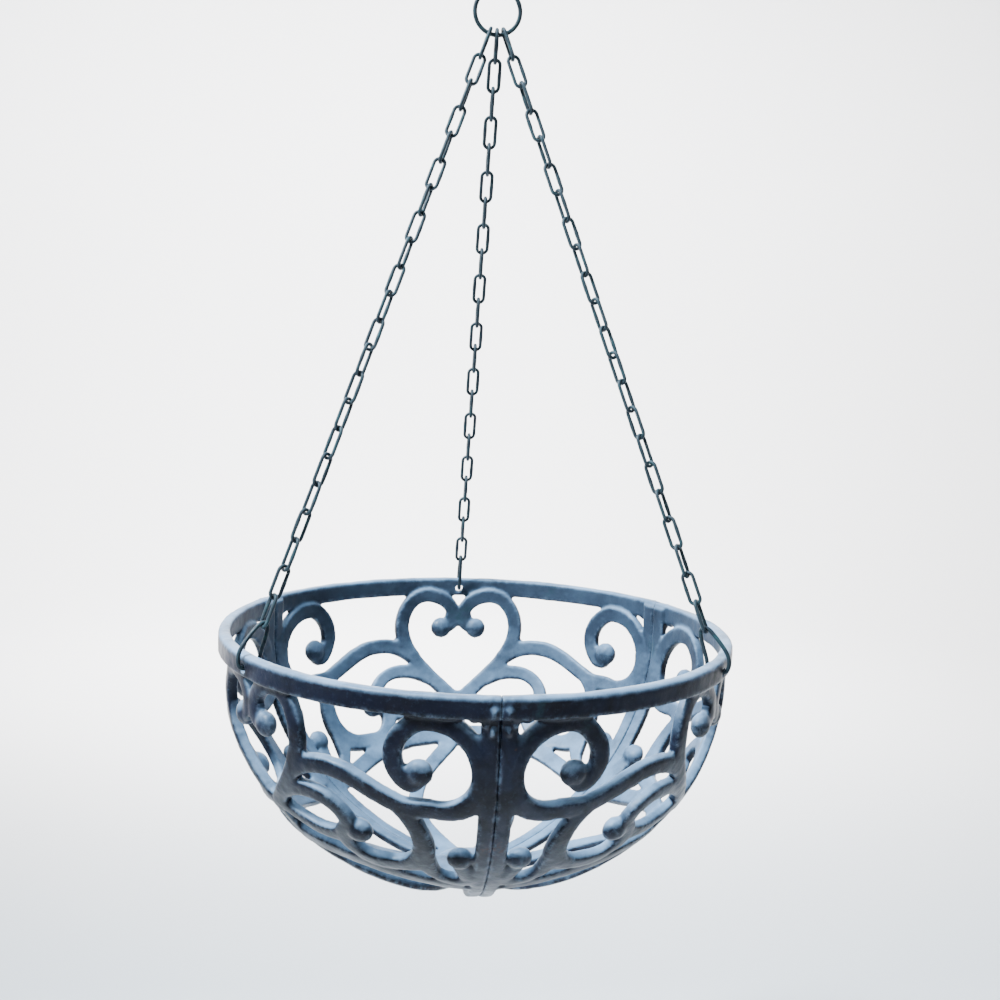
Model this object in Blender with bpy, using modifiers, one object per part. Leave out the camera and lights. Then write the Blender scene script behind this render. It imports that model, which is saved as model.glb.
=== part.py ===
"""Cast-iron hanging basket: three scrollwork panels, a top ring and three link chains.

Metres, +Z up. The origin is the top of the ring's eye, where the basket hangs.
The rear chain runs towards +Y; the other two are 120 degrees round from it.
"""

import math

import bmesh
import bpy
from mathutils import Matrix, Vector

MM = 0.001

# Top ring
RING_MEAN_RADIUS = 14.8 * MM
RING_WIRE = 2.9 * MM

# Rim and bowl
RIM_DROP = 421.5 * MM  # from the hanging point down to the top of the rim
RIM_RADIUS = 175.0 * MM
RIM_THICKNESS = 8.5 * MM
RIM_HEIGHT = 14.0 * MM
RIM_CHAMFER = 1.8 * MM
BOWL_RADIUS = 170.0 * MM
BOWL_WALL = 27.0 * MM  # straight wall below the rim's top, above the curved part
BOWL_DEPTH = 177.5 * MM
PANEL_GAP = 0.3 * MM
JOINT_TURN = math.radians(60)  # from a panel's middle to each of its joints
JOINT_SPARE = 1 * MM  # left past the joint for the cut to take off

# Scrollwork
BAR_WIDTH = 10.0 * MM
BAR_DEPTH = 5.6 * MM
BAR_STEP = 8.5 * MM
KNOB_DEPTH = 3.6 * MM  # from the skin to a knob's centre
KNOB_FLATNESS = 0.8
KNOB_FULLNESS = 1.05  # makes up for what the flat facets take off a round knob
RIB_TOP_WIDTH = 11.0 * MM  # each side of a joint
RIB_FOOT_WIDTH = 7.5 * MM
RIB_DEPTH = 5.2 * MM
RIB_PROUD = 0.6 * MM
BOSS_RADIUS = 24.0 * MM
BOSS_HEIGHT = 7.0 * MM
FOOT_RADIUS = 15.0 * MM
FOOT_DROP = 178.6 * MM  # from the rim's top to the flat underside of the boss

# Chains
LINKS_PER_CHAIN = 22
LINK_WIRE = 2.4 * MM
LINK_WIDTH = 9.5 * MM
PAIR_BITE = 0.2 * MM  # the two links of a pair are one solid
PAIR_GAP = 0.3 * MM
MIDDLE_PAIR = 6
MIDDLE_GAP = 1.2 * MM  # play below the middle pair
RING_GAP = 0.8 * MM
TOP_SPREAD = 5.0 * MM  # between the chains where they sit on the ring
HOOK_WIRE = 2.7 * MM
HOOK_GAP = 0.4 * MM
HOOK_HOLE_DROP = 8.2 * MM
HOOK_HOLE_RADIUS = 3.5 * MM

CHAINS = {"rear": 90.0, "left": 210.0, "right": 330.0}
TOP_X = {"rear": 0.0, "left": -TOP_SPREAD, "right": TOP_SPREAD}

# Painted iron and plated steel: base colour, roughness, metallic
PAINTED_IRON = ((0.055, 0.075, 0.105), 0.42, 0.55)
CHAIN_STEEL = ((0.075, 0.105, 0.115), 0.38, 0.85)

RIM_TOP = -RIM_DROP
RING_CENTRE = Vector((0, 0, -(RING_MEAN_RADIUS - RING_WIRE / 2)))


def clear_scene():
    for obj in list(bpy.data.objects):
        bpy.data.objects.remove(obj, do_unlink=True)


def collection(name):
    made = bpy.data.collections.new(name)
    bpy.context.scene.collection.children.link(made)
    return made


def material(name, finish):
    colour, roughness, metallic = finish
    made = bpy.data.materials.new(name)
    made.use_nodes = True
    shader = made.node_tree.nodes["Principled BSDF"]
    shader.inputs["Base Color"].default_value = (*colour, 1)
    shader.inputs["Roughness"].default_value = roughness
    shader.inputs["Metallic"].default_value = metallic
    return made


def mesh_object(name, vertices, faces, target):
    mesh = bpy.data.meshes.new(name)
    mesh.from_pydata(vertices, [], faces)
    shape = bmesh.new()
    shape.from_mesh(mesh)
    bmesh.ops.recalc_face_normals(shape, faces=shape.faces)
    shape.to_mesh(mesh)
    shape.free()
    obj = bpy.data.objects.new(name, mesh)
    target.objects.link(obj)
    return obj


def swept(name, sections, target, closed=False):
    """A solid through a row of equal sections; closed joins the last to the first."""
    count = len(sections[0])
    vertices = [point for section in sections for point in section]
    faces = []
    for row in range(len(sections) if closed else len(sections) - 1):
        here, there = row * count, (row + 1) % len(sections) * count
        for i in range(count):
            j = (i + 1) % count
            faces.append((here + i, here + j, there + j, there + i))
    if not closed:
        faces.append(tuple(range(count)))
        faces.append(tuple(range(len(vertices) - count, len(vertices))))
    return mesh_object(name, vertices, faces, target)


# ---- the bowl's outer skin ------------------------------------------------------------


def skin_table(steps=240):
    """(drop along the skin, radius, height below the rim's top, slope angle) down to the pole."""
    curve_depth = BOWL_DEPTH - BOWL_WALL
    rows = [(0.0, BOWL_RADIUS, 0.0, 0.0)]
    drop, last = BOWL_WALL, Vector((BOWL_RADIUS, -BOWL_WALL))
    for i in range(steps + 1):
        turn = math.pi / 2 * i / steps
        point = Vector(
            (BOWL_RADIUS * math.cos(turn), -BOWL_WALL - curve_depth * math.sin(turn))
        )
        drop += (point - last).length
        slope = math.atan2(BOWL_RADIUS * math.sin(turn), curve_depth * math.cos(turn))
        rows.append((drop, point.x, point.y, slope))
        last = point
    return rows


SKIN = skin_table()


def skin(drop):
    """Radius, height and slope of the skin at a distance down it from the rim's top."""
    for above, below in zip(SKIN, SKIN[1:]):
        if drop <= below[0]:
            share = (drop - above[0]) / max(below[0] - above[0], 1e-9)
            return [a + (b - a) * share for a, b in zip(above[1:], below[1:])]
    return SKIN[-1][1:]


def on_bowl(across, drop, depth):
    """A point of the +Y panel: across from its middle, down the skin, and into the wall."""
    radius, height, slope = skin(drop)
    turn = across / radius
    radius -= depth * math.cos(slope)
    height += depth * math.sin(slope)
    return Vector((radius * math.sin(turn), radius * math.cos(turn), RIM_TOP + height))


# ---- scroll paths, as (across, drop) in millimetres -------------------------------------


def arc(across, drop, radius, start, end, count, end_radius=None):
    """Points round a centre from one angle to another, 90 degrees being straight up."""
    end_radius = radius if end_radius is None else end_radius
    points = []
    for i in range(count + 1):
        share = i / count
        angle = math.radians(start + (end - start) * share)
        reach = radius + (end_radius - radius) * share
        points.append((across + reach * math.cos(angle), drop - reach * math.sin(angle)))
    return points


HEART = [(14.5, 41), (6.5, 38), (3.6, 30), (8.5, 20.8), (17, 15.4), (28, 13.6), (38, 17.5)]
HEART += [(45, 27), (47.5, 39), (45, 52), (37, 66), (25.5, 79), (12, 92), (-3, 106)]
RING_SCROLL = [(36, 66), (47, 59), (57, 55.5), (68, 54.5), (79, 56), (89, 60), (98, 65)]
RING_SCROLL += [(107, 70), (117, 74)]
RING_SCROLL += arc(138, 46, 29, -105, 90, 12)
RING_SCROLL += arc(138, 46, 29, 105, 210, 6, end_radius=20) + [(124.5, 56.5), (129, 52)]
BIG_SCROLL = [(111, 72), (116, 82), (117, 93), (114.5, 104), (109, 114.5), (101, 123)]
BIG_SCROLL += [(90, 129)] + arc(73.5, 115, 15.5, -80, -225, 5)
BIG_SCROLL += [(66.5, 100.5), (72, 101.5)]
FOOT_SCROLL = [(114, 104), (108.5, 117), (104, 127), (101, 136)]
FOOT_SCROLL += arc(111, 138, 10, 215, 330, 4) + [(124, 130), (127, 122)]
EYE_SCROLL = [(22, 84), (33, 79), (44, 76.5), (55, 77), (64, 81.5), (69, 89), (68.5, 98)]
EYE_SCROLL += [(62, 106), (52, 110), (40, 110.5), (28, 107.5), (14, 103), (-3, 99)]
NECK = [(0, 27), (0, 35), (0, 43)]
STALK = [(0, 96), (0, 112), (0, 130)]
GARLAND = [(-3, 131), (18, 131.5), (38, 133), (55, 137), (71, 143), (86, 150), (100, 155.5)]
GARLAND += [(122, 158)]
LEG = [(-2, 124), (6, 138), (15, 149), (24, 160), (31.5, 172), (36, 186), (36.5, 200)]
LEG += [(33, 214), (27, 227), (20, 240), (13, 252), (7, 262)]

# name: path, bar width, how far its face stands out of the skin
BARS = {
    "heart": (HEART, BAR_WIDTH, 0.9 * MM),
    "ring_scroll": (RING_SCROLL, BAR_WIDTH, 0.4 * MM),
    "big_scroll": (BIG_SCROLL, BAR_WIDTH, 0.0),
    "foot_scroll": (FOOT_SCROLL, 0.9 * BAR_WIDTH, -0.4 * MM),
    "eye_scroll": (EYE_SCROLL, 0.95 * BAR_WIDTH, 0.15 * MM),
    "neck": (NECK, 2 * BAR_WIDTH, 0.6 * MM),
    "stalk": (STALK, 1.2 * BAR_WIDTH, -0.7 * MM),
    "garland": (GARLAND, 1.3 * BAR_WIDTH, -0.55 * MM),
    "leg": (LEG, 1.1 * BAR_WIDTH, -0.2 * MM),
}

# knob: across, drop and radius
KNOBS = {
    "heart_knob": (14.5, 41, 8.8),
    "ring_knob": (129.5, 50, 9.4),
    "big_knob": (73, 102.5, 9.2),
    "foot_knob": (128.5, 119, 8.6),
}


def even_path(points, step):
    """The path rounded off and laid out again in equal steps, in metres."""
    points = [Vector(point) * MM for point in points]
    points = [2 * points[0] - points[1], *points, 2 * points[-1] - points[-2]]
    fine = []
    for before, start, end, after in zip(points, points[1:], points[2:], points[3:]):
        for i in range(8):
            t = i / 8
            fine.append(
                (
                    2 * start
                    + (end - before) * t
                    + (2 * before - 5 * start + 4 * end - after) * t**2
                    + (3 * start - before - 3 * end + after) * t**3
                )
                / 2
            )
    fine.append(points[-2])
    lengths = [0.0]
    for a, b in zip(fine, fine[1:]):
        lengths.append(lengths[-1] + (b - a).length)
    count = max(2, round(lengths[-1] / step))
    even, at = [], 0
    for i in range(count + 1):
        wanted = lengths[-1] * i / count
        while at < len(fine) - 2 and lengths[at + 1] < wanted:
            at += 1
        share = (wanted - lengths[at]) / max(lengths[at + 1] - lengths[at], 1e-9)
        even.append(fine[at].lerp(fine[at + 1], min(share, 1.0)))
    return even


def bar(name, path, width, proud, target):
    """A flat bar that follows a path on the bowl."""
    points = even_path(path, BAR_STEP)
    sections = []
    for i, point in enumerate(points):
        along = points[min(i + 1, len(points) - 1)] - points[max(i - 1, 0)]
        side = Vector((-along.y, along.x)).normalized() * width / 2
        left, right = point - side, point + side
        sections.append(
            [
                on_bowl(left.x, left.y, -proud),
                on_bowl(right.x, right.y, -proud),
                on_bowl(right.x, right.y, BAR_DEPTH + proud / 2),
                on_bowl(left.x, left.y, BAR_DEPTH + proud / 2),
            ]
        )
    return swept(name, sections, target)


def knob(name, across, drop, radius, target):
    mesh = bpy.data.meshes.new(name)
    shape = bmesh.new()
    bmesh.ops.create_icosphere(shape, subdivisions=1, radius=radius * MM * KNOB_FULLNESS)
    # the facets of each knob lie a different way
    bmesh.ops.rotate(shape, verts=shape.verts, matrix=Matrix.Rotation(across, 3, "Z"))
    bmesh.ops.scale(shape, verts=shape.verts, vec=(1, 1, KNOB_FLATNESS))
    shape.to_mesh(mesh)
    shape.free()
    obj = bpy.data.objects.new(name, mesh)
    obj.location = on_bowl(across * MM, drop * MM, KNOB_DEPTH)
    outward = on_bowl(across * MM, drop * MM, 0) - obj.location
    obj.rotation_euler = outward.to_track_quat("Z", "Y").to_euler()
    target.objects.link(obj)
    return obj


def half_rib(target):
    """The bar along the panel's right-hand edge, down to the boss."""
    out = Vector((math.sin(JOINT_TURN), math.cos(JOINT_TURN), 0))
    inward = Vector((-out.y, out.x, 0))
    sections = []
    drops = [3 * MM, BOWL_WALL, *(BOWL_WALL + i * 21.5 * MM for i in range(1, 12))]
    for drop in drops:
        radius, height, slope = skin(drop)
        width = RIB_TOP_WIDTH + (RIB_FOOT_WIDTH - RIB_TOP_WIDTH) * drop / drops[-1]
        section = []
        for depth, aside in (
            (-RIB_PROUD, -JOINT_SPARE),
            (-RIB_PROUD, width),
            (RIB_DEPTH, width),
            (RIB_DEPTH, -JOINT_SPARE),
        ):
            reach = radius - depth * math.cos(slope)
            level = RIM_TOP + height + depth * math.sin(slope)
            section.append(out * reach + inward * aside + Vector((0, 0, level)))
        sections.append(section)
    return swept("half_rib", sections, target)


def half_rim(target):
    inner = RIM_RADIUS - RIM_THICKNESS
    outline = [
        (inner, RIM_TOP),
        (RIM_RADIUS - RIM_CHAMFER, RIM_TOP),
        (RIM_RADIUS, RIM_TOP - RIM_CHAMFER),
        (RIM_RADIUS, RIM_TOP - RIM_HEIGHT),
        (inner, RIM_TOP - RIM_HEIGHT),
    ]
    sections = []
    for i in range(11):
        turn = math.radians(-6 + i * 7)
        sections.append([(r * math.sin(turn), r * math.cos(turn), z) for r, z in outline])
    return swept("half_rim", sections, target)


def half_boss(target):
    """The dished plate with a flat foot under the bowl, as this half panel's wedge of it."""
    foot = RIM_TOP - FOOT_DROP
    edge = RIM_TOP + skin(SKIN[-1][0] - BOSS_RADIUS)[1]
    outline = [
        (FOOT_RADIUS, foot),
        (BOSS_RADIUS, edge),
        (BOSS_RADIUS - 1 * MM, edge + BOSS_HEIGHT),
    ]
    # the wedge's point is past the axis, so that the cuts leave no sliver there
    point = [(-12 * MM, -7 * MM, edge + BOSS_HEIGHT), (-12 * MM, -7 * MM, foot)]
    sections = []
    for i in range(5):
        turn = math.radians(-12 + i * 21)
        around = [(r * math.sin(turn), r * math.cos(turn), z) for r, z in outline]
        sections.append(around + point)
    wedge = swept("half_boss", sections, target)
    shape = bmesh.new()
    shape.from_mesh(wedge.data)
    bmesh.ops.remove_doubles(shape, verts=shape.verts, dist=1e-6)
    bmesh.ops.recalc_face_normals(shape, faces=shape.faces)
    shape.to_mesh(wedge.data)
    shape.free()


def block(name, size, matrix, target):
    mesh = bpy.data.meshes.new(name)
    shape = bmesh.new()
    bmesh.ops.create_cube(shape, size=1, matrix=matrix @ Matrix.Diagonal((*size, 1)))
    shape.to_mesh(mesh)
    shape.free()
    obj = bpy.data.objects.new(name, mesh)
    target.objects.link(obj)
    return obj


def boolean(obj, name, operation, other):
    modifier = obj.modifiers.new(name, "BOOLEAN")
    modifier.operation = operation
    modifier.solver = "EXACT"
    if isinstance(other, bpy.types.Collection):
        modifier.operand_type = "COLLECTION"
        modifier.collection = other
    else:
        modifier.object = other


def panel_mesh(helpers):
    """One of the three castings, as a mesh facing +Y: half of it, united, cut and mirrored."""
    half = half_rim(helpers)
    pieces = collection("panel_pieces")
    pieces.hide_render = True
    half_rib(pieces)
    half_boss(pieces)
    for name, (path, width, proud) in BARS.items():
        bar(name, path, width, proud, pieces)
    for name, (across, drop, radius) in KNOBS.items():
        knob(name, across, drop, radius, pieces)

    beyond = Vector((math.cos(JOINT_TURN), -math.sin(JOINT_TURN), 0))
    size = Vector((0.1, 0.6, 0.6))
    middle = beyond * (size.x / 2 - PANEL_GAP / 2) + Vector((0, 0, RIM_TOP))
    joint_plane = Matrix.Translation(middle) @ Matrix.Rotation(-JOINT_TURN, 4, "Z")
    joint_cut = block("joint_cut", size, joint_plane, helpers)

    bpy.ops.mesh.primitive_cylinder_add(
        vertices=10,
        radius=HOOK_HOLE_RADIUS,
        depth=4 * RIM_THICKNESS,
        location=(0, RIM_RADIUS, RIM_TOP - HOOK_HOLE_DROP),
        rotation=(math.radians(90), 0, 0),
    )
    hole_cut = bpy.context.object
    hole_cut.name = "hook_hole_cut"

    boolean(half, "join", "UNION", pieces)
    boolean(half, "joint", "DIFFERENCE", joint_cut)
    boolean(half, "hook_hole", "DIFFERENCE", hole_cut)
    mirror = half.modifiers.new("mirror", "MIRROR")
    mirror.use_bisect_axis[0] = True
    mirror.use_bisect_flip_axis[0] = False
    mirror.use_clip = True
    mirror.merge_threshold = 0.00002
    bpy.context.view_layer.update()
    graph = bpy.context.evaluated_depsgraph_get()
    mesh = bpy.data.meshes.new_from_object(half.evaluated_get(graph))
    for obj in [half, joint_cut, hole_cut, *pieces.objects]:
        bpy.data.objects.remove(obj, do_unlink=True)
    bpy.data.collections.remove(pieces)
    mesh.name = "panel"
    return mesh


def make_panels(target, helpers):
    iron = material("painted_iron", PAINTED_IRON)
    mesh = panel_mesh(helpers)
    mesh.materials.clear()
    mesh.materials.append(iron)
    for side, azimuth in CHAINS.items():
        panel = bpy.data.objects.new(f"panel_{side}", mesh)
        panel.rotation_euler.z = math.radians(azimuth - 90)
        target.objects.link(panel)


# ---- wire pieces ------------------------------------------------------------------------


def wire_loop(name, points, normal, wire, sides, target):
    """A closed wire through points that lie in one plane, with an edge line on its inside."""
    middle = sum(points, Vector()) / len(points)
    sections = []
    for i, point in enumerate(points):
        along = (points[(i + 1) % len(points)] - points[i - 1]).normalized()
        aside = along.cross(normal).normalized()
        if aside.dot(middle - point) < 0:
            aside = -aside
        section = []
        for j in range(sides):
            turn = 2 * math.pi * j / sides
            section.append(
                point + (aside * math.cos(turn) + normal * math.sin(turn)) * wire / 2
            )
        sections.append(section)
    return swept(name, sections, target, closed=True)


def make_ring(target):
    points = []
    for i in range(20):
        turn = 2 * math.pi * i / 20
        points.append(
            RING_CENTRE + Vector((math.sin(turn), 0, -math.cos(turn))) * RING_MEAN_RADIUS
        )
    ring = wire_loop("top_ring", points, Vector((0, 1, 0)), RING_WIRE, 6, target)
    ring.data.materials.append(material("ring_steel", CHAIN_STEEL))


# The rim hook's wire, as (out from the bowl's axis, up from the rim's top)
HOOK = [(167, -8.2), (174, -8.2), (176.9, -6.7), (177.8, -3.0), (177.3, 1.4), (175, 6)]
HOOK += [(171, 11), (167, 15.2), (163.6, 18.3), (160.6, 19.2), (158.4, 17.4)]
HOOK += [(158.6, 13), (160.6, 6.5), (162.8, 0), (164.1, -5.2)]
HOOK_TOP = 9  # the bend that the last link pulls on


def hook_points(azimuth):
    turn = math.radians(azimuth)
    out = Vector((math.cos(turn), math.sin(turn), 0))
    return [out * r * MM + Vector((0, 0, RIM_TOP + z * MM)) for r, z in HOOK]


def make_hook(side, azimuth, steel, target):
    turn = math.radians(azimuth)
    normal = Vector((-math.sin(turn), math.cos(turn), 0))
    hook = wire_loop(f"hook_{side}", hook_points(azimuth), normal, HOOK_WIRE, 6, target)
    hook.data.materials.append(steel)


def link_points(top, down, across, length):
    """The centre line of an oval link from its top bend, running down."""
    bend = (LINK_WIDTH - LINK_WIRE) / 2
    points = []
    for start, middle in ((0, top + down * bend), (180, top + down * (length - bend))):
        for i in range(5):
            turn = math.radians(start + i * 45)
            points.append(middle + (across * math.cos(turn) - down * math.sin(turn)) * bend)
    return points


def make_chain(side, azimuth, steel, target):
    """Links from the ring to the rim hook, two to a solid."""
    sag = RING_MEAN_RADIUS**2 - TOP_X[side] ** 2
    seat = RING_CENTRE + Vector((TOP_X[side], 0, -math.sqrt(sag)))
    hold = hook_points(azimuth)[HOOK_TOP]
    down = (hold - seat).normalized()
    start = seat - down * (RING_WIRE / 2 + LINK_WIRE / 2 + RING_GAP)
    end = hold + down * (HOOK_WIRE / 2 + LINK_WIRE / 2 + HOOK_GAP)
    # a link laps its neighbour by a wire, less the gap or plus the bite
    pairs = LINKS_PER_CHAIN // 2
    gaps = (pairs - 2) * PAIR_GAP + MIDDLE_GAP
    laps = (LINKS_PER_CHAIN - 1) * LINK_WIRE - pairs * PAIR_BITE + gaps
    span = (end - start).length
    length = (span + laps) / LINKS_PER_CHAIN

    first = Vector((1, 0, 0))
    first = (first - down * first.dot(down)).normalized()
    turn = math.radians(azimuth)
    last = Vector((-math.sin(turn), math.cos(turn), 0))
    if last.dot(first) < 0:
        last = -last
    roll = math.atan2(first.cross(last).dot(down), first.dot(last))

    top = start
    for pair in range(pairs):
        gap = MIDDLE_GAP if pair + 1 == MIDDLE_PAIR else PAIR_GAP
        solids = []
        for half in (0, 1):
            k = 2 * pair + half
            turn = roll * k / (LINKS_PER_CHAIN - 1) + math.radians(90) * half
            normal = Matrix.Rotation(turn, 3, down) @ first
            points = link_points(top, down, down.cross(normal), length)
            solids.append(wire_loop(f"link_{k}", points, normal, LINK_WIRE, 5, target))
            top = top + down * (length - LINK_WIRE + (-gap if half else PAIR_BITE))
        upper, lower = solids
        upper.name = f"chain_{side}_{pair + 1:02d}"
        boolean(upper, "join", "UNION", lower)
        bpy.context.view_layer.update()
        graph = bpy.context.evaluated_depsgraph_get()
        joined = bpy.data.meshes.new_from_object(upper.evaluated_get(graph))
        upper.modifiers.clear()
        upper.data = joined
        joined.materials.clear()
        joined.materials.append(steel)
        bpy.data.objects.remove(lower, do_unlink=True)


def main():
    clear_scene()
    basket = collection("hanging_basket")
    helpers = collection("helpers")
    make_panels(basket, helpers)
    make_ring(basket)
    steel = material("chain_steel", CHAIN_STEEL)
    for side, azimuth in CHAINS.items():
        make_hook(side, azimuth, steel, basket)
        make_chain(side, azimuth, steel, basket)
    bpy.data.collections.remove(helpers)


main()
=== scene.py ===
"""Looks of the hanging basket: cast and painted scrollwork panels, welded chain, ring and hooks.

Metres, +Z up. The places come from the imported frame's boxes, and every piece rides on its body.
"""

import math

import bmesh
import bpy
import numpy as np
from mathutils import Matrix, Vector


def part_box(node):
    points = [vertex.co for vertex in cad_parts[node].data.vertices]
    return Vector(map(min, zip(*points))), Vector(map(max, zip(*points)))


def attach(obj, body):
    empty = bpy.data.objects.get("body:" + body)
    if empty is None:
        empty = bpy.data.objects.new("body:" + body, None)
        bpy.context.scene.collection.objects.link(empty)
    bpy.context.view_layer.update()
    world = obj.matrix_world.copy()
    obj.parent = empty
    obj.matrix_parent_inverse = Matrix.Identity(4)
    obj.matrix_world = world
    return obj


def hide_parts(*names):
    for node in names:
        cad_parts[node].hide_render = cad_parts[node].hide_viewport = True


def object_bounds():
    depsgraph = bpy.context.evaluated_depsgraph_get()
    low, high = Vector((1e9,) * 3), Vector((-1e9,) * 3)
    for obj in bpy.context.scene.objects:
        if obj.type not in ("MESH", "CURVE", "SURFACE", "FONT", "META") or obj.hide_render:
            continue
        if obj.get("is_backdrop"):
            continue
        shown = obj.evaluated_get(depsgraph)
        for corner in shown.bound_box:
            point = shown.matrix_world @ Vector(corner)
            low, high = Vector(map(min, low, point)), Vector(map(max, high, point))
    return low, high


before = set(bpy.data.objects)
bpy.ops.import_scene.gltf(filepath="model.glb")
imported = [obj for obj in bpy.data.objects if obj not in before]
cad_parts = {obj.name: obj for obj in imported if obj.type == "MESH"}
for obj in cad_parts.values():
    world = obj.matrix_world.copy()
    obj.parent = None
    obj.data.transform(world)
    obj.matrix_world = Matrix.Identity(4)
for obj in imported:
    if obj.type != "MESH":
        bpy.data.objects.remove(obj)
CAD_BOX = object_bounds()

MM = 0.001

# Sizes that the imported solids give
RIM_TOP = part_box("panel_rear")[1].z
RIM_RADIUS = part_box("panel_rear")[1].y
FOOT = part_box("panel_rear")[0].z
RING_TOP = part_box("top_ring")[1].z
RING_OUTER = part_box("top_ring")[1].x

# Bowl
RIM_THICKNESS = 8.2 * MM
RIM_HEIGHT = 14.0 * MM
BOWL_RADIUS = 170.0 * MM
BOWL_WALL = 27.0 * MM
BOWL_DEPTH = 177.5 * MM
JOINT_TURN = math.radians(60)  # from a panel's middle to each of its joints
HALF_GAP = -0.2 * MM  # past the joint, since the softening draws the edges back
BAR_DEPTH = 5.8 * MM
BAR_STEP = 1.8 * MM
BAR_OUTER_ROUND = 1.4 * MM
BAR_INNER_ROUND = 1.0 * MM
BAR_CROWN = 0.4 * MM
RIB_TOP_WIDTH = 11.0 * MM
RIB_FOOT_WIDTH = 7.5 * MM
RIB_DEPTH = 5.4 * MM
RIB_PROUD = 0.6 * MM
RIB_CROWN = 0.15 * MM
RIB_START = 3 * MM  # below the rim's top
RIB_STOP = 12 * MM  # short of the bowl's lowest point
RIB_STEP = 2 * MM
KNOB_DEPTH = 3.4 * MM  # from the skin to a knob's centre
KNOB_FLATNESS = 0.72
BEAD_THICKNESS = 2.2
BOSS_RADIUS = 24.0 * MM
FOOT_RADIUS = 15.0 * MM
BOSS_HEIGHT = 7.0 * MM
VOXEL = 1.15 * MM  # of the mesh that runs a panel's bars together
SOFTENING = 3

# Chains
RING_WIRE = 2.9 * MM
LINKS = 22
LINK_WIRE = 2.4 * MM
LINK_WIDTH = 9.5 * MM
PAIR_BITE = 0.2 * MM  # how far the two links of a pair run into each other
PAIR_GAP = 0.3 * MM
MIDDLE_PAIR = 6
MIDDLE_GAP = 1.2 * MM  # play below the middle pair
RING_GAP = 0.8 * MM
TOP_SPREAD = 5.0 * MM
HOOK_WIRE = 2.7 * MM
HOOK_GAP = 0.4 * MM
HOOK_HOLE_DROP = 8.2 * MM
HOOK_HOLE_RADIUS = 3.2 * MM
WELD_SPREAD = 1.3  # of a weld's swelling along the wire, in sections

CHAINS = {"rear": 90.0, "left": 210.0, "right": 330.0}
TOP_X = {"rear": 0.0, "left": -TOP_SPREAD, "right": TOP_SPREAD}
RING_MEAN = RING_OUTER - RING_WIRE / 2
RING_CENTRE = Vector((0, 0, RING_TOP - RING_OUTER))

# Camera
CAMERA_PLACE = (-0.08056, -0.87518, RIM_TOP + 0.20532)
CAMERA_TURN = (82.403, -2.059, -5.834)  # degrees about X, Y and Z
CAMERA_LENS = 46.77

# Lights: place, aim, size, energy, colour, spread in degrees
BOWL_TOP = (0, 0, RIM_TOP)
LIGHTS = {
    "key": ((-1.5, -0.7, 1.5), BOWL_TOP, 0.5, 20, (0.80, 0.91, 1.0), 50),
    "top": ((-0.4, -0.3, 2.2), BOWL_TOP, 0.9, 13, (0.66, 0.85, 1.0), 60),
    "rim": ((-1.6, 0.9, 0.7), BOWL_TOP, 0.6, 4, (0.70, 0.86, 1.0), 60),
    "backdrop": ((0, 1.5, 0.7), (0, 3.6, -0.6), 1.6, 290, (1.0, 1.0, 1.0), 180),
}
SKY_COLOUR = (0.80, 0.90, 1.0, 1)
SKY_STRENGTH = 0.12

# Stage
STAGE_DROP = 0.34  # below the basket's foot
STAGE_RADIUS = 3.6
STAGE_BEND = 1.2
STAGE_WALL = 3.4


# ---- node helpers ------------------------------------------------------------------------


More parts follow.
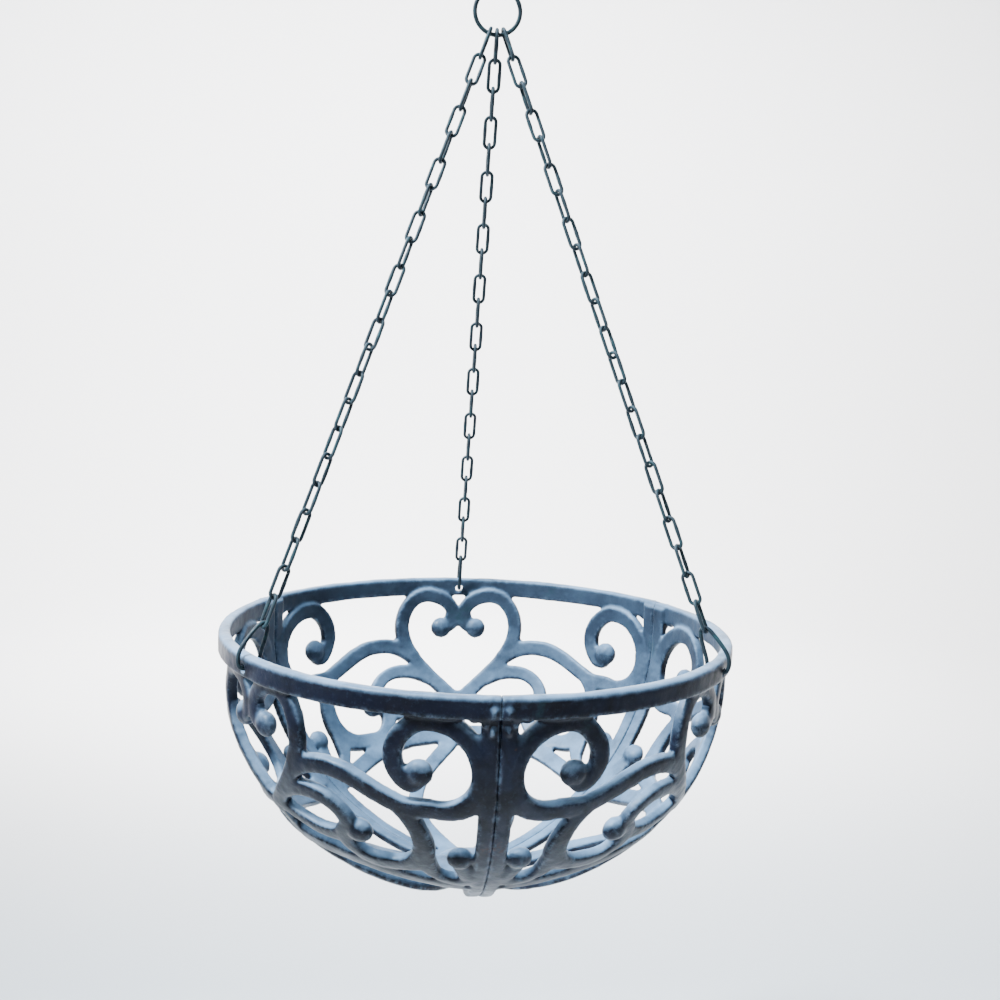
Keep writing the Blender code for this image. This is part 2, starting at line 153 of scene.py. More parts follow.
class Nodes:
    """A material's node tree, with short calls for the nodes used here."""

    def __init__(self, name):
        self.material = bpy.data.materials.new(name)
        self.material.use_nodes = True
        self.tree = self.material.node_tree
        self.shader = self.tree.nodes["Principled BSDF"]
        self.coords = self.tree.nodes.new("ShaderNodeTexCoord").outputs["Object"]

    def link(self, source, target):
        self.tree.links.new(source, target)

    def put(self, socket, value):
        if isinstance(value, bpy.types.NodeSocket):
            self.link(value, socket)
        else:
            socket.default_value = value

    def noise(self, scale, detail, roughness, distortion=0.0):
        node = self.tree.nodes.new("ShaderNodeTexNoise")
        node.inputs["Scale"].default_value = scale
        node.inputs["Detail"].default_value = detail
        node.inputs["Roughness"].default_value = roughness
        node.inputs["Distortion"].default_value = distortion
        self.link(self.coords, node.inputs["Vector"])
        return node.outputs["Fac"]

    def ramp(self, value, *stops):
        """A colour ramp through (place, colour or grey) stops."""
        node = self.tree.nodes.new("ShaderNodeValToRGB")
        elements = node.color_ramp.elements
        while len(elements) < len(stops):
            elements.new(0.5)
        for element, (place, colour) in zip(elements, stops):
            element.position = place
            if not hasattr(colour, "__len__"):
                colour = (colour, colour, colour)
            element.color = (*colour, 1)
        self.link(value, node.inputs["Fac"])
        return node.outputs["Color"]

    def mix(self, factor, a, b):
        node = self.tree.nodes.new("ShaderNodeMix")
        node.data_type = "RGBA"
        self.put(node.inputs[0], factor)
        for socket, value in ((node.inputs[6], a), (node.inputs[7], b)):
            if isinstance(value, float):
                value = (value, value, value)
            if isinstance(value, tuple):
                value = (*value, 1)
            self.put(socket, value)
        return node.outputs[2]

    def math(self, operation, a, b):
        node = self.tree.nodes.new("ShaderNodeMath")
        node.operation = operation
        self.put(node.inputs[0], a)
        self.put(node.inputs[1], b)
        return node.outputs[0]

    def facing_up(self):
        """1 where the surface faces up, 0 where it faces down."""
        geometry = self.tree.nodes.new("ShaderNodeNewGeometry")
        node = self.tree.nodes.new("ShaderNodeSeparateXYZ")
        self.link(geometry.outputs["Normal"], node.inputs[0])
        half = self.math("MULTIPLY", node.outputs["Z"], 0.5)
        return self.math("ADD", half, 0.5)

    def vector(self, operation, a, b):
        node = self.tree.nodes.new("ShaderNodeVectorMath")
        node.operation = operation
        self.put(node.inputs[0], a)
        self.put(node.inputs[1], b)
        return node.outputs["Value" if operation == "DOT_PRODUCT" else "Vector"]

    def facing_axis(self):
        """Near 1 on the bowl's inside, near -1 on its outside: the surface turned to the Z axis."""
        level = self.vector("MULTIPLY", self.coords, (-1, -1, 0))
        inward = self.vector("NORMALIZE", level, (0, 0, 0))
        own_normal = self.tree.nodes.new("ShaderNodeTexCoord").outputs["Normal"]
        return self.vector("DOT_PRODUCT", inward, own_normal)

    def pointiness(self):
        return self.tree.nodes.new("ShaderNodeNewGeometry").outputs["Pointiness"]

    def bump(self, height, distance, strength, normal=None):
        node = self.tree.nodes.new("ShaderNodeBump")
        node.inputs["Distance"].default_value = distance
        node.inputs["Strength"].default_value = strength
        self.link(height, node.inputs["Height"])
        if normal:
            self.link(normal, node.inputs["Normal"])
        return node.outputs["Normal"]


def painted_iron():
    """Satin blue-black paint on a sand casting, with rust and patina, painted light on the bowl's
    inside, a painted highlight on what faces up and on the edges, and painted shade in hollows.
    """
    n = Nodes("painted_iron_finish")
    broad = n.noise(9, 3, 0.5)
    cloud = n.noise(38, 5, 0.6, distortion=0.4)
    speck = n.noise(420, 3, 0.6)
    edge = n.ramp(n.pointiness(), (0.505, 0.0), (0.56, 1.0))
    # painted shade: the hollows darker
    painted_hollow_shade = n.ramp(n.pointiness(), (0.43, 1.0), (0.497, 0.0))

    # two tones of paint, with darker clouds and light specks
    tone = n.ramp(broad, (0.38, 0.0), (0.62, 1.0))
    paint = n.mix(tone, (0.004, 0.005, 0.011), (0.010, 0.013, 0.026))
    paint = n.mix(n.ramp(cloud, (0.45, 0.0), (0.62, 0.8)), paint, (0.003, 0.003, 0.006))
    paint = n.mix(n.ramp(speck, (0.55, 0.0), (0.75, 0.3)), paint, (0.024, 0.034, 0.056))

    # painted light on the bowl's inside and a painted highlight on what faces up, both in patches
    patchy = n.ramp(n.noise(30, 5, 0.65), (0.30, 0.35), (0.62, 1.0))
    inside = n.ramp(n.facing_axis(), (0.25, 0.0), (0.75, 0.9))
    paint = n.mix(n.math("MULTIPLY", inside, patchy), paint, (0.036, 0.056, 0.086))
    painted_top_highlight = n.ramp(n.facing_up(), (0.52, 0.0), (0.90, 1.0))
    paint = n.mix(n.math("MULTIPLY", painted_top_highlight, patchy), paint, (0.170, 0.270, 0.400))

    # wear and a painted highlight on the edges, painted shade in the hollows, rust and green patina
    wear_and_edge_highlight = n.mix(edge, 0.0, n.ramp(n.noise(120, 4, 0.7), (0.46, 0.0), (0.64, 0.7)))
    paint = n.mix(wear_and_edge_highlight, paint, (0.160, 0.230, 0.320))
    paint = n.mix(n.math("MULTIPLY", painted_hollow_shade, 0.7), paint, (0.003, 0.004, 0.006))
    rust = n.ramp(n.noise(24, 6, 0.72, distortion=0.6), (0.65, 0.0), (0.73, 0.6))
    paint = n.mix(rust, paint, (0.060, 0.028, 0.020))
    patina = n.ramp(n.noise(34, 5, 0.65, distortion=0.3), (0.62, 0.0), (0.74, 0.5))
    paint = n.mix(patina, paint, (0.014, 0.042, 0.046))
    n.link(paint, n.shader.inputs["Base Color"])

    rough = n.ramp(cloud, (0.3, 0.28), (0.7, 0.48))
    rough = n.mix(rust, rough, (0.85, 0.85, 0.85))
    n.link(rough, n.shader.inputs["Roughness"])
    n.shader.inputs["Specular IOR Level"].default_value = 0.16

    cast = n.bump(n.noise(160, 4, 0.6), 0.00045, 0.55)
    grit = n.bump(n.noise(900, 2, 0.5), 0.00010, 0.5, cast)
    n.link(grit, n.shader.inputs["Normal"])
    return n.material


def chain_steel(name, tint):
    """Dark plated wire, dulled in patches, with a green-blue bloom."""
    n = Nodes(name)
    cloud = n.noise(260, 4, 0.6)
    bloom = n.noise(110, 5, 0.65, distortion=0.5)
    scratch = n.noise(1500, 2, 0.5)
    metal = n.mix(n.ramp(cloud, (0.35, 0.0), (0.7, 1.0)), tint, (0.006, 0.008, 0.012))
    metal = n.mix(n.ramp(bloom, (0.52, 0.0), (0.68, 0.8)), metal, (0.012, 0.060, 0.068))
    # painted highlight: sharp edges and bends lighter
    edge = n.ramp(n.pointiness(), (0.51, 0.0), (0.58, 0.6))
    metal = n.mix(edge, metal, (0.060, 0.080, 0.095))
    n.link(metal, n.shader.inputs["Base Color"])
    n.link(n.ramp(cloud, (0.3, 0.30), (0.7, 0.52)), n.shader.inputs["Roughness"])
    n.shader.inputs["Metallic"].default_value = 0.1
    n.shader.inputs["Specular IOR Level"].default_value = 0.12
    n.link(n.bump(scratch, 0.00006, 0.5), n.shader.inputs["Normal"])
    return n.material


def stage_paint():
    """Matt pale grey, very slightly uneven."""
    n = Nodes("pale_stage")
    tone = n.ramp(n.noise(0.8, 3, 0.5), (0.3, (0.80, 0.80, 0.81)), (0.7, (0.82, 0.82, 0.83)))
    n.link(tone, n.shader.inputs["Base Color"])
    n.shader.inputs["Roughness"].default_value = 0.9
    return n.material


# ---- mesh helpers ------------------------------------------------------------------------


def sweep_faces(rows, count, closed):
    """Faces between rows of points; closed joins the last row to the first, else both are capped."""
    faces = []
    for row in range(rows if closed else rows - 1):
        here, there = row * count, (row + 1) % rows * count
        for i in range(count):
            j = (i + 1) % count
            faces.append((here + i, here + j, there + j, there + i))
    if not closed:
        faces.append(tuple(range(count)))
        faces.append(tuple(range((rows - 1) * count, rows * count)))
    return faces


class Solids:
    """Vertices and faces of several closed shapes, gathered into one mesh."""

    def __init__(self):
        self.vertices, self.faces = [], []

    def add(self, vertices, faces):
        start = sum(len(part) for part in self.vertices)
        self.vertices.append(np.asarray(vertices, float).reshape(-1, 3))
        self.faces += [tuple(start + i for i in face) for face in faces]

    def add_shape(self, shape):
        """A bmesh's vertices and faces; the bmesh itself is freed."""
        shape.verts.index_update()
        faces = [[vertex.index for vertex in face.verts] for face in shape.faces]
        self.add([vertex.co[:] for vertex in shape.verts], faces)
        shape.free()

    def sweep(self, sections, closed=False):
        sections = np.asarray(sections, float)
        self.add(sections, sweep_faces(len(sections), sections.shape[1], closed))

    def mirrored(self):
        """These shapes and their mirror images in X."""
        both = Solids()
        points = np.concatenate(self.vertices)
        both.add(points, self.faces)
        both.add(points * (-1, 1, 1), [face[::-1] for face in self.faces])
        return both

    def object(self, name):
        mesh = bpy.data.meshes.new(name)
        mesh.from_pydata(np.concatenate(self.vertices).tolist(), [], self.faces)
        shape = bmesh.new()
        shape.from_mesh(mesh)
        bmesh.ops.recalc_face_normals(shape, faces=shape.faces)
        shape.to_mesh(mesh)
        shape.free()
        obj = bpy.data.objects.new(name, mesh)
        bpy.context.scene.collection.objects.link(obj)
        return obj


def shade_smooth(mesh):
    mesh.polygons.foreach_set("use_smooth", [True] * len(mesh.polygons))


def applied_mesh(obj):
    """A new mesh of the object as its modifiers leave it."""
    bpy.context.view_layer.update()
    graph = bpy.context.evaluated_depsgraph_get()
    return bpy.data.meshes.new_from_object(obj.evaluated_get(graph))


def spline(before, start, end, after, t):
    """A smooth curve's point between start and end, t from 0 to 1, with its neighbours given."""
    return (
        2 * start
        + (end - before) * t
        + (2 * before - 5 * start + 4 * end - after) * t**2
        + (3 * start - before - 3 * end + after) * t**3
    ) / 2


# ---- the bowl's skin ---------------------------------------------------------------------


def skin_table(steps=600):
    """Distances down the skin, with its radius, height and slope angle there."""
    turn = np.linspace(0, math.pi / 2, steps)
    curve_depth = BOWL_DEPTH - BOWL_WALL
    radius = np.append(BOWL_RADIUS, BOWL_RADIUS * np.cos(turn))
    height = np.append(0, -BOWL_WALL - curve_depth * np.sin(turn))
    slope = np.arctan2(BOWL_RADIUS * np.sin(turn), curve_depth * np.cos(turn))
    slope = np.append(0, slope)
    drop = np.append(0, np.cumsum(np.hypot(np.diff(radius), np.diff(height))))
    return drop, radius, height, slope


SKIN_DROP, SKIN_RADIUS, SKIN_HEIGHT, SKIN_SLOPE = skin_table()


def skin(drop):
    """Radius, height and slope of the skin at distances down it from the rim's top."""
    return (
        np.interp(drop, SKIN_DROP, SKIN_RADIUS),
        np.interp(drop, SKIN_DROP, SKIN_HEIGHT),
        np.interp(drop, SKIN_DROP, SKIN_SLOPE),
    )


def on_bowl(across, drop, depth):
    """Points of the +Y panel: across from its middle, down the skin, and into the wall."""
    radius, height, slope = skin(drop)
    turn = across / radius
    radius = radius - depth * np.cos(slope)
    height = height + depth * np.sin(slope)
    points = (radius * np.sin(turn), radius * np.cos(turn), RIM_TOP + height)
    return np.stack(points, axis=-1)


# ---- scroll paths, as (across, drop) in millimetres --------------------------------------


def arc(across, drop, radius, start, end, count, end_radius=None):
    """Points round a centre from one angle to another, 90 degrees being straight up."""
    end_radius = radius if end_radius is None else end_radius
    points = []
    for i in range(count + 1):
        share = i / count
        angle = math.radians(start + (end - start) * share)
        reach = radius + (end_radius - radius) * share
        points.append((across + reach * math.cos(angle), drop - reach * math.sin(angle)))
    return points


HEART = [(14.5, 41), (6.5, 38), (3.6, 30), (8.5, 20.8), (17, 15.4), (28, 13.6), (38, 17.5)]
HEART += [(45, 27), (47.5, 39), (45, 52), (37, 66), (25.5, 79), (12, 92), (-3, 106)]
RING_SCROLL = [(36, 66), (47, 59), (57, 55.5), (68, 54.5), (79, 56), (89, 60), (98, 65)]
RING_SCROLL += [(107, 70), (117, 74)]
RING_SCROLL += arc(138, 46, 29, -105, 90, 12)
RING_SCROLL += arc(138, 46, 29, 105, 210, 6, end_radius=20) + [(124.5, 56.5), (129, 52)]
BIG_SCROLL = [(111, 72), (116, 82), (117, 93), (114.5, 104), (109, 114.5), (101, 123)]
BIG_SCROLL += [(90, 129)] + arc(73.5, 115, 15.5, -80, -225, 5) + [(66.5, 100.5), (72, 101.5)]
FOOT_SCROLL = [(114, 104), (108.5, 117), (104, 127), (101, 136)]
FOOT_SCROLL += arc(111, 138, 10, 215, 330, 4) + [(124, 130), (127, 122)]
EYE_SCROLL = [(22, 84), (33, 79), (44, 76.5), (55, 77), (64, 81.5), (69, 89), (68.5, 98)]
EYE_SCROLL += [(62, 106), (52, 110), (40, 110.5), (28, 107.5), (14, 103), (-3, 99)]
NECK = [(0, 26), (0, 33), (0, 39.5)]
STALK = [(0, 96), (0, 112), (0, 130)]
GARLAND = [(-3, 131), (18, 131.5), (38, 133), (55, 137), (71, 143), (86, 150), (98, 154.5)]
GARLAND += [(108, 156.5)]
LEG = [(-2, 124), (6, 138), (15, 149), (24, 160), (31.5, 172), (36, 186), (36.5, 200)]
LEG += [(33, 214), (27, 227), (20, 240), (13, 252), (7, 262)]

# path; width at its start, middle and end; how far its face stands out of the skin, in millimetres
BARS = (
    (HEART, (10.4, 11.2, 11.0), 0.9),
    (RING_SCROLL, (11.5, 12.2, 11.0), 0.8),
    (BIG_SCROLL, (12.0, 12.2, 11.0), 0.6),
    (FOOT_SCROLL, (11.0, 10.8, 9.5), 0.4),
    (EYE_SCROLL, (10.5, 11.2, 11.2), 0.4),
    (NECK, (15.0, 22.0, 21.0), 0.5),
    (STALK, (12.0, 12.0, 12.0), 0.0),
    (GARLAND, (13.0, 15.5, 15.5), 0.3),
    (LEG, (12.0, 12.5, 12.0), 0.0),
)

# a knob ends the heart, the ring scroll, the big scroll and the foot scroll: across, drop and radius
KNOBS = (
    (14.5, 41, 8.6),
    (129.5, 50, 8.9),
    (73, 102.5, 9.0),
    (128.5, 119, 8.4),
)


def even_path(points, step):
    """The path rounded off and laid out again in equal steps, in metres."""
    p = np.asarray(points, float) * MM
    p = np.vstack([2 * p[0] - p[1], p, 2 * p[-1] - p[-2]])
    t = np.linspace(0, 1, 16, endpoint=False)[:, None]
    fine = [spline(a, b, c, d, t) for a, b, c, d in zip(p, p[1:], p[2:], p[3:])]
    fine = np.vstack(fine + [p[-2]])
    length = np.append(0, np.cumsum(np.linalg.norm(np.diff(fine, axis=0), axis=1)))
    count = max(3, round(length[-1] / step))
    even = np.linspace(0, length[-1], count + 1)
    return np.stack([np.interp(even, length, fine[:, i]) for i in (0, 1)], axis=-1)


def bar_outline(width, proud):
    """(aside, depth) points round a bar's cross-section, from its outer face."""
    outer, inner = BAR_OUTER_ROUND, BAR_INNER_ROUND
    corners = (
        (width / 2 - outer, -proud + outer, outer, -90),
        (width / 2 - inner, BAR_DEPTH - inner, inner, 0),
        (-width / 2 + inner, BAR_DEPTH - inner, inner, 90),
        (-width / 2 + outer, -proud + outer, outer, 180),
    )
    points = []
    for aside, deep, radius, start in corners:
        for i in range(4):
            turn = math.radians(start + 90 * i / 3)
            points.append((aside + radius * math.cos(turn), deep + radius * math.sin(turn)))
    points.append((-width / 5, -proud - BAR_CROWN))
    points.append((width / 5, -proud - BAR_CROWN))
    return np.array(points)


def add_bar(solids, path, widths, proud):
    """A bar along a path on the bowl, wider in its middle than at its ends."""
    points = even_path(path, BAR_STEP)
    along = np.gradient(points, axis=0)
    along /= np.linalg.norm(along, axis=1)[:, None]
    side = np.stack([-along[:, 1], along[:, 0]], axis=-1)
    share = np.linspace(0, 1, len(points))
    first, middle, last = widths
    width = np.interp(share, (0, 0.18, 0.8, 1), (first, middle, middle, last)) * MM
    sections = []
    for point, aside, wide in zip(points, side, width):
        outline = bar_outline(wide, proud * MM)
        flat = point + outline[:, :1] * aside
        sections.append(on_bowl(flat[:, 0], flat[:, 1], outline[:, 1]))
    solids.sweep(sections)


def add_knob(solids, across, drop, radius):
    """A faceted boss, flatter than a ball, standing on the wall."""
    centre = on_bowl(across * MM, drop * MM, KNOB_DEPTH)
    out = centre - on_bowl(across * MM, drop * MM, KNOB_DEPTH + 1 * MM)
    out = Vector(out).normalized()
    turn = Vector((0, 0, 1)).rotation_difference(out).to_matrix()
    shape = bmesh.new()
    bmesh.ops.create_icosphere(shape, subdivisions=2, radius=radius * MM)
    for vertex in shape.verts:
        vertex.co.z *= KNOB_FLATNESS
        vertex.co = turn @ vertex.co + Vector(centre)
    solids.add_shape(shape)


def add_rib(solids):
    """The bar down the panel's right-hand edge, with its joint side at the half gap."""
    out = np.array([math.sin(JOINT_TURN), math.cos(JOINT_TURN), 0])
    inward = np.array([-out[1], out[0], 0])
    up = np.array([0, 0, 1])
    edge, inner = 1.4 * MM, 1.0 * MM
    deep, face = RIB_DEPTH, -RIB_PROUD

    def outline(wide):
        """(depth, aside) points round the rib's cross-section."""
        return [
            (face + edge * 0.8, HALF_GAP),
            (face + edge * 0.2, HALF_GAP + edge * 0.35),
            (face, HALF_GAP + edge),
            (face - RIB_CROWN, wide / 2),
            (face, wide - edge),
            (face + edge * 0.3, wide - edge * 0.3),
            (face + edge, wide),
            (deep - inner, wide),
            (deep - inner * 0.3, wide - inner * 0.3),
            (deep, wide - inner),
            (deep, HALF_GAP + edge),
            (deep - edge * 0.8, HALF_GAP),
        ]

    drops = np.arange(RIB_START, SKIN_DROP[-1] - RIB_STOP, RIB_STEP)
    sections = []
    for drop, share in zip(drops, np.linspace(0, 1, len(drops))):
        wide = RIB_TOP_WIDTH + (RIB_FOOT_WIDTH - RIB_TOP_WIDTH) * share
        radius, height, slope = skin(drop)
        section = []
        for depth, aside in outline(wide):
            reach = radius - depth * math.cos(slope)
            level = RIM_TOP + height + depth * math.sin(slope)
            section.append(out * reach + inward * aside + up * level)
        sections.append(section)
    solids.sweep(sections)


def wedge_point(turn, radius, height):
    """A point of the panel's 120 degree wedge, whose tip lies a half gap inside both joints."""
    tip = HALF_GAP / math.sin(JOINT_TURN)
    return (radius * math.sin(turn), tip + radius * math.cos(turn), height)


def add_half_rim(solids):
    """The rim from just past the panel's middle to its right-hand joint."""
    outer = RIM_RADIUS
    inner = outer - RIM_THICKNESS
    low, high = RIM_TOP - RIM_HEIGHT, RIM_TOP
    soft, small = 2.4 * MM, 1.4 * MM
    outline = [(inner + small, high), (outer - soft, high)]
    for i in range(1, 5):
        turn = math.radians(90 - 22.5 * i)
        reach, rise = soft * math.cos(turn), soft * math.sin(turn)
        outline.append((outer - soft + reach, high - soft + rise))
    outline += [
        (outer, low + small),
        (outer - small * 0.3, low + small * 0.3),
        (outer - small, low),
        (inner + small, low),
        (inner, low + small),
        (inner, high - small),
        (inner + small * 0.3, high - small * 0.3),
    ]
    sections = []
    for turn in np.radians(np.linspace(-3, 60, 90)):
        sections.append([wedge_point(turn, r, z) for r, z in outline])
    solids.sweep(sections)


def add_boss(solids):
    """The panel's third of the dished plate under the bowl, with its flat foot."""
    edge = RIM_TOP + float(skin(SKIN_DROP[-1] - BOSS_RADIUS)[1])
    outline = [
        (0.0, FOOT),
        (FOOT_RADIUS - 1.5 * MM, FOOT),
        (FOOT_RADIUS, FOOT + 0.4 * MM),
        (BOSS_RADIUS - 1 * MM, edge - 0.4 * MM),
        (BOSS_RADIUS, edge + 1.2 * MM),
        (BOSS_RADIUS - 1 * MM, edge + BOSS_HEIGHT - 1 * MM),
        (BOSS_RADIUS - 3 * MM, edge + BOSS_HEIGHT),
        (0.0, edge + BOSS_HEIGHT),
    ]
    sections = []
    for turn in np.radians(np.linspace(-60, 60, 61)):
        sections.append([wedge_point(turn, r, z) for r, z in outline])
    solids.sweep(sections)


# Weld beads where the panels meet and where the scrolls meet the rim: degrees round from the
# panel's middle, distance below the rim's top, depth into the wall, half width and half height
BEADS = (
    (57.6, 3.0, -3.4, 2.4, 3.6),
    (58.6, 9.5, -4.4, 2.6, 4.4),
    (57.2, 16.0, -1.4, 2.6, 3.4),
    (58.4, 21.5, -0.9, 2.0, 3.0),
    (55.0, 14.5, -0.6, 3.4, 2.2),
    (57.4, 14.0, 3.4, 4.0, 3.0),
    (8.6, 14.2, 2.8, 3.2, 2.0),
    (13.2, 14.6, 1.0, 2.6, 1.8),
    (46.6, 14.6, 1.4, 4.4, 2.2),
)


def add_beads(solids):
    """Small lumps of weld, as squashed balls half sunk in the metal."""
    for degrees, drop, depth, wide, tall in BEADS:
        turn = math.radians(degrees)
        radius = BOWL_RADIUS - depth * MM
        centre = Vector((radius * math.sin(turn), radius * math.cos(turn), RIM_TOP - drop * MM))
        round_z = Matrix.Rotation(-turn, 3, "Z")
        shape = bmesh.new()
        bmesh.ops.create_icosphere(shape, subdivisions=2, radius=1 * MM)
        for vertex in shape.verts:
            x, y, z = vertex.co
            vertex.co = round_z @ Vector((x * wide, y * BEAD_THICKNESS, z * tall)) + centre
        solids.add_shape(shape)


def panel_mesh():
    """One casting facing +Y: its bars, knobs, rib, rim and foot run together and softened."""
    half = Solids()
    for path, widths, proud in BARS:
        add_bar(half, path, widths, proud)
    for knob in KNOBS:
        add_knob(half, *knob)
    add_rib(half)
    add_half_rim(half)
    add_beads(half)
    whole = half.mirrored()
    add_boss(whole)
    panel = whole.object("panel_parts")

    bpy.ops.mesh.primitive_cylinder_add(
        vertices=32,
        radius=HOOK_HOLE_RADIUS,
        depth=4 * RIM_THICKNESS,
        location=(0, RIM_RADIUS, RIM_TOP - HOOK_HOLE_DROP),
        rotation=(math.radians(90), 0, 0),
    )
    drill = bpy.context.object

    melt = panel.modifiers.new("run_together", "REMESH")
    melt.mode = "VOXEL"
    melt.voxel_size = VOXEL
    soften = panel.modifiers.new("soften", "SMOOTH")
    soften.factor = 0.5
    soften.iterations = SOFTENING
    hole = panel.modifiers.new("hook_hole", "BOOLEAN")
    hole.operation = "DIFFERENCE"
    hole.solver = "EXACT"
    hole.object = drill
    mesh = applied_mesh(panel)
    for helper in (panel, drill):
        bpy.data.objects.remove(helper, do_unlink=True)
    return mesh


def make_panels(finish):
    mesh = panel_mesh()
    for side, azimuth in CHAINS.items():
        casting = mesh.copy()
        casting.transform(Matrix.Rotation(math.radians(azimuth - 90), 4, "Z"))
        casting.materials.clear()
        casting.materials.append(finish)
        shade_smooth(casting)
        obj = bpy.data.objects.new(f"casting_{side}", casting)
        bpy.context.scene.collection.objects.link(obj)
        roughen(obj)
        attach(obj, "basket")
        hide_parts(f"panel_{side}")
    bpy.data.meshes.remove(mesh)


def roughen(obj):
    """Slow unevenness of a hand-finished sand casting."""
    for name, size, strength in (("swell", 0.022, 0.0007), ("ripple", 0.006, 0.00032)):
        texture = bpy.data.textures.get(name) or bpy.data.textures.new(name, "CLOUDS")
        texture.noise_scale = size
        texture.noise_depth = 1
        push = obj.modifiers.new(name, "DISPLACE")
        push.texture = texture
        push.texture_coords = "LOCAL"
        push.strength = strength
        push.mid_level = 0.5
    mesh = applied_mesh(obj)
    old = obj.data
    obj.modifiers.clear()
    obj.data = mesh
    bpy.data.meshes.remove(old)
    shade_smooth(obj.data)


# ---- wire pieces -------------------------------------------------------------------------


def add_wire_loop(solids, points, normal, wire, sides, weld=None, bulge=1.16):
    """A closed round wire; weld is the share of its length at which it was joined and bulges."""
    points = [Vector(p) for p in points]
    count = len(points)
    sections = []
    for i, point in enumerate(points):
        along = (points[(i + 1) % count] - points[i - 1]).normalized()
        aside = along.cross(normal).normalized()
        radius = wire / 2
        if weld is not None:
            away = abs((i / count - weld + 0.5) % 1 - 0.5) * count
            radius *= 1 + (bulge - 1) * math.exp(-((away / WELD_SPREAD) ** 2))
        section = []
        for j in range(sides):
            turn = 2 * math.pi * j / sides
            spoke = aside * math.cos(turn) + normal * math.sin(turn)
            section.append(point + spoke * radius)
        sections.append(section)
    solids.sweep(sections, closed=True)


def finish_wire(obj, body, node, finish):
    """The wire's material, and the body and CAD node that it belongs to."""
    obj.data.materials.append(finish)
    shade_smooth(obj.data)
    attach(obj, body)
    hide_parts(node)


def make_ring(finish):
    points = []
    for i in range(96):
        turn = 2 * math.pi * i / 96
        points.append(RING_CENTRE + Vector((math.sin(turn), 0, -math.cos(turn))) * RING_MEAN)
    solids = Solids()
    add_wire_loop(solids, points, Vector((0, 1, 0)), RING_WIRE, 16, weld=0.31, bulge=1.1)
    finish_wire(solids.object("ring_wire"), "top_ring", "top_ring", finish)


# The rim hook's wire, as (out from the bowl's axis, up from the rim's top)
HOOK = [(167, -8.2), (174, -8.2), (176.9, -6.7), (177.8, -3.0), (177.3, 1.4), (175, 6)]
HOOK += [(171, 11), (167, 15.2), (163.6, 18.3), (160.6, 19.2), (158.4, 17.4)]
HOOK += [(158.6, 13), (160.6, 6.5), (162.8, 0), (164.1, -5.2)]
HOOK_TOP = 9  # the bend that the last link pulls on


def closed_curve(points, steps):
    """Points of a smooth closed curve through the given ones."""
    p = np.asarray(points, float)
    out = []
    for i in range(len(p)):
        a, b, c, d = (p[(i + k) % len(p)] for k in (-1, 0, 1, 2))
        out += [spline(a, b, c, d, j / steps) for j in range(steps)]
    return out


def radial(azimuth):
    """Level directions away from the bowl's axis and along the rim."""
    x, y = math.cos(math.radians(azimuth)), math.sin(math.radians(azimuth))
    return Vector((x, y, 0)), Vector((-y, x, 0))


def make_hook(side, azimuth, finish):
    out, across = radial(azimuth)
    curve = closed_curve(HOOK, 5)
    points = [out * r * MM + Vector((0, 0, RIM_TOP + z * MM)) for r, z in curve]
    solids = Solids()
    add_wire_loop(solids, points, across, HOOK_WIRE, 14)
    name = f"hook_{side}"
    finish_wire(solids.object(f"hook_wire_{side}"), name, name, finish)


def link_points(top, down, across, length):
    """The centre line of an oval link from its top bend, running down."""
    bend = (LINK_WIDTH - LINK_WIRE) / 2
    points = []
    for start, middle in ((0, top + down * bend), (180, top + down * (length - bend))):
        for i in range(13):
            turn = math.radians(start + i * 15)
            points.append(middle + (across * math.cos(turn) - down * math.sin(turn)) * bend)
        onward = 1 if start == 0 else -1
        for i in range(1, 6):
            step = down * ((length - 2 * bend) * i / 6)
            points.append(middle + onward * (step - across * bend))
    return points


def make_chain(side, azimuth, finish):
    """Links from the ring to the rim hook, two to a piece, laid out as the solids are."""
    sag = RING_MEAN**2 - TOP_X[side] ** 2
    seat = RING_CENTRE + Vector((TOP_X[side], 0, -math.sqrt(sag)))
    out, across = radial(azimuth)
    reach, rise = HOOK[HOOK_TOP]
    hold = out * reach * MM + Vector((0, 0, RIM_TOP + rise * MM))
    down = (hold - seat).normalized()
    start = seat - down * (RING_WIRE / 2 + LINK_WIRE / 2 + RING_GAP)
    end = hold + down * (HOOK_WIRE / 2 + LINK_WIRE / 2 + HOOK_GAP)
    pairs = LINKS // 2
    gaps = (pairs - 2) * PAIR_GAP + MIDDLE_GAP
    laps = (LINKS - 1) * LINK_WIRE - pairs * PAIR_BITE + gaps
    length = ((end - start).length + laps) / LINKS

    first = Vector((1, 0, 0))
    first = (first - down * first.dot(down)).normalized()
    last = across if across.dot(first) >= 0 else -across
    roll = math.atan2(first.cross(last).dot(down), first.dot(last))
    top = start
    for pair in range(pairs):
        gap = MIDDLE_GAP if pair + 1 == MIDDLE_PAIR else PAIR_GAP
        solids = Solids()
        for half in (0, 1):
            k = 2 * pair + half
            turn = roll * k / (LINKS - 1) + math.radians(90) * half
            normal = Matrix.Rotation(turn, 3, down) @ first
            points = link_points(top, down, down.cross(normal), length)
            weld = 0.43 if k % 3 else 0.93
            add_wire_loop(solids, points, normal, LINK_WIRE, 10, weld=weld)
            top = top + down * (length - LINK_WIRE + (-gap if half else PAIR_BITE))
        name = f"{side}_{pair + 1:02d}"
        node = f"chain_{name}"
        finish_wire(solids.object(f"links_{name}"), node, node, finish)


# ---- camera, light and stage -------------------------------------------------------------


def make_camera():
    data = bpy.data.cameras.new("camera")
    data.lens = CAMERA_LENS
    data.sensor_width = 36
    data.clip_start = 0.01
    camera = bpy.data.objects.new("camera", data)
    camera.location = CAMERA_PLACE
    camera.rotation_euler = [math.radians(turn) for turn in CAMERA_TURN]
    bpy.context.scene.collection.objects.link(camera)
    bpy.context.scene.camera = camera


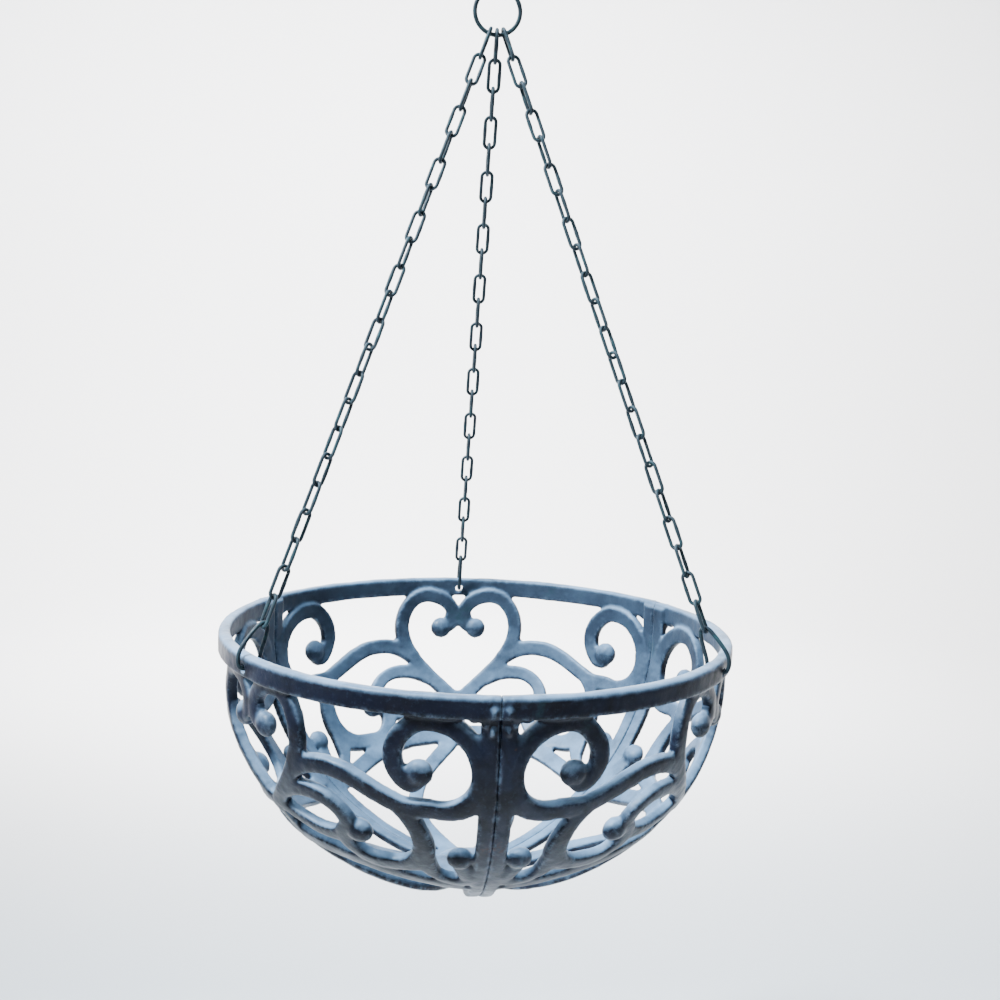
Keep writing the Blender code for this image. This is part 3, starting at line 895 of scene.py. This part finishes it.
def area_light(name, place, aim, size, energy, colour, spread):
    data = bpy.data.lights.new(name, "AREA")
    data.shape = "DISK"
    data.size = size
    data.energy = energy
    data.color = colour
    data.spread = math.radians(spread)
    light = bpy.data.objects.new(name, data)
    light.location = place
    light.rotation_euler = (Vector(aim) - Vector(place)).to_track_quat("-Z", "Y").to_euler()
    bpy.context.scene.collection.objects.link(light)


def make_light():
    world = bpy.data.worlds.new("world")
    world.use_nodes = True
    background = world.node_tree.nodes["Background"]
    background.inputs["Color"].default_value = SKY_COLOUR
    background.inputs["Strength"].default_value = SKY_STRENGTH
    bpy.context.scene.world = world
    for name, light in LIGHTS.items():
        area_light(name, *light)


def make_stage(finish):
    """A pale floor that curves up into a wall all round."""
    flat = STAGE_RADIUS - STAGE_BEND
    profile = [(1.0, 0), (flat, 0)]
    for i in range(1, 13):
        turn = math.radians(90 * i / 12)
        rise = STAGE_BEND - STAGE_BEND * math.cos(turn)
        profile.append((flat + STAGE_BEND * math.sin(turn), rise))
    profile.append((STAGE_RADIUS, STAGE_WALL))

    floor = FOOT - STAGE_DROP
    count = 64
    vertices = [(0, 0, floor)]
    for r, z in profile:
        for i in range(count):
            turn = 2 * math.pi * i / count
            vertices.append((r * math.cos(turn), r * math.sin(turn), floor + z))
    faces = [(0, 1 + i, 1 + (i + 1) % count) for i in range(count)]
    for row in range(len(profile) - 1):
        for i in range(count):
            j = (i + 1) % count
            a, b = 1 + row * count, 1 + (row + 1) * count
            faces.append((a + i, b + i, b + j, a + j))
    mesh = bpy.data.meshes.new("stage")
    mesh.from_pydata(vertices, [], faces)
    mesh.materials.append(finish)
    shade_smooth(mesh)
    stage = bpy.data.objects.new("stage", mesh)
    bpy.context.scene.collection.objects.link(stage)
    stage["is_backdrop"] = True


def main():
    make_panels(painted_iron())
    make_ring(chain_steel("ring_finish", (0.014, 0.026, 0.032)))
    steel = chain_steel("chain_finish", (0.010, 0.022, 0.028))
    for side, azimuth in CHAINS.items():
        make_hook(side, azimuth, steel)
        make_chain(side, azimuth, steel)
    make_camera()
    make_light()
    make_stage(stage_paint())


main()
boxes = {"cad": CAD_BOX, "visual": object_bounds()}
boxes = {name: [[float(x) for x in corner] for corner in box] for name, box in boxes.items()}
